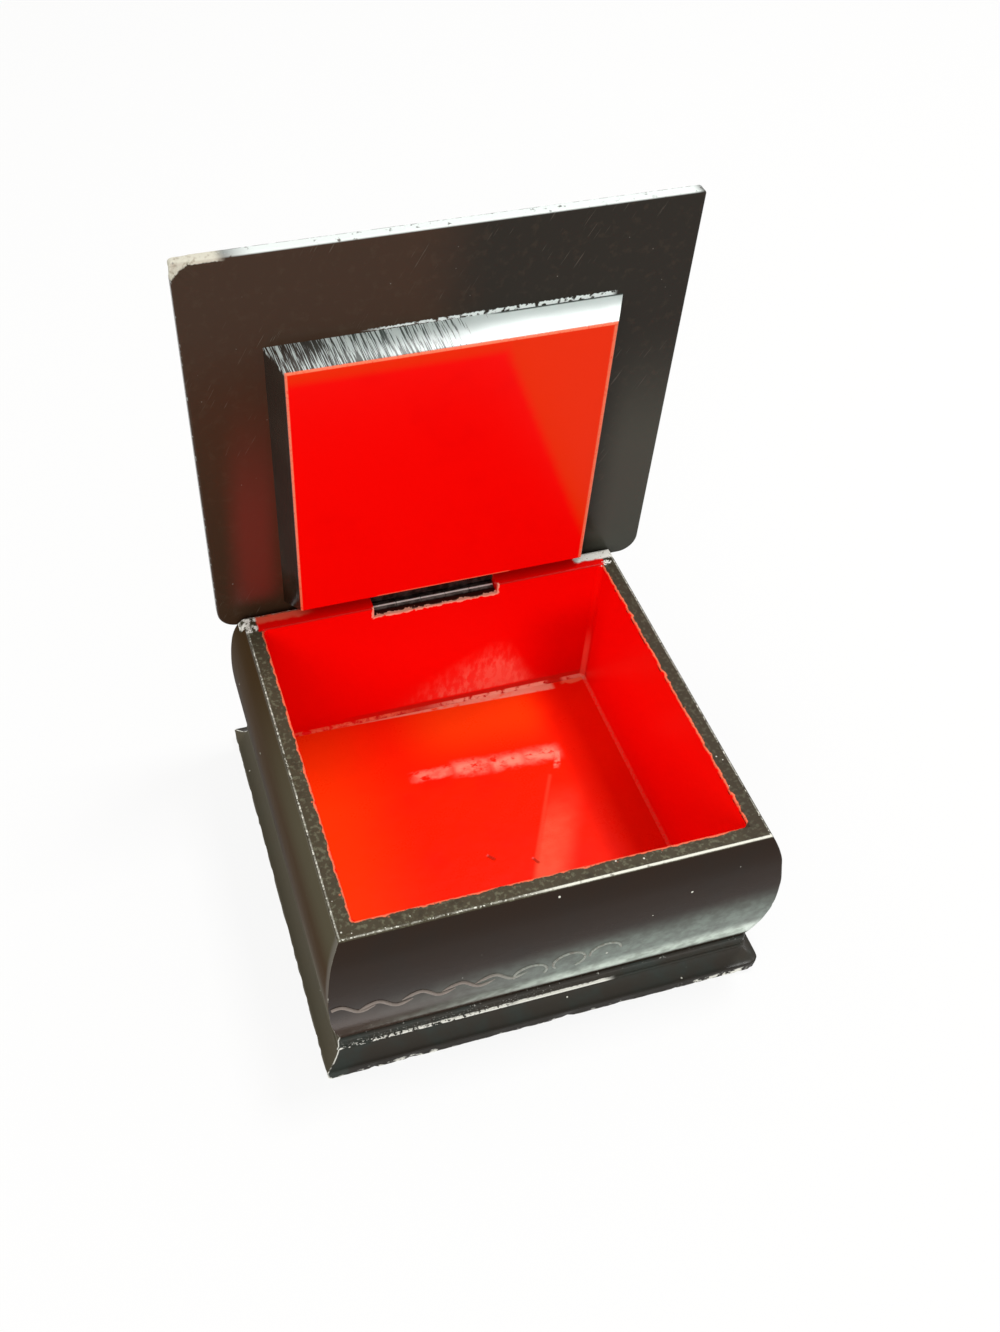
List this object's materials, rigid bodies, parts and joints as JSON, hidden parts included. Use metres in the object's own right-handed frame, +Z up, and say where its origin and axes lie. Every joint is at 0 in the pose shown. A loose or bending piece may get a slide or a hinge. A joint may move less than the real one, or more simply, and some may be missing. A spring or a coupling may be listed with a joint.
{
  "type": "lacquered trinket box with hinged lid",
  "caption": "A small black lacquered trinket box with red interior, bulging walls on a moulded plinth and a flat hinged lid standing open.",
  "frame": {"origin": "Middle of the plinth's underside, which the box stands on. The lid is offset 1.5 mm to the right of it, as in the picture.", "axes": "+Z up, +Y to the hinged back, -Y to the front, +X to the right as seen from the front. The hinge axis runs along X."},
  "size_m": [0.1039, 0.0994, 0.1339],
  "materials": {
    "black_lacquer": "black gloss lacquer on wound papier-mache",
    "red_lacquer": "red gloss lacquer on papier-mache",
    "hinge_steel": "dull steel"
  },
  "bodies": {
    "box": {"body_walls": "black_lacquer", "base_board": "red_lacquer", "plinth": "black_lacquer", "hinge_wall_leaf": "hinge_steel", "hinge_pin": "hinge_steel", "wall_cross_pins": "hinge_steel"},
    "lid": {"lid_plate": "black_lacquer", "lid_block": "red_lacquer", "hinge_lid_leaf": "hinge_steel", "lid_cross_pins": "hinge_steel"}
  },
  "joints": [
    {"name": "lid_hinge", "type": "hinge", "parent": "box", "child": "lid", "pos_m": [0, 0.04333, 0.0424], "axis": [-1, 0, 0], "range_deg": [-89, 6]}
  ]
}
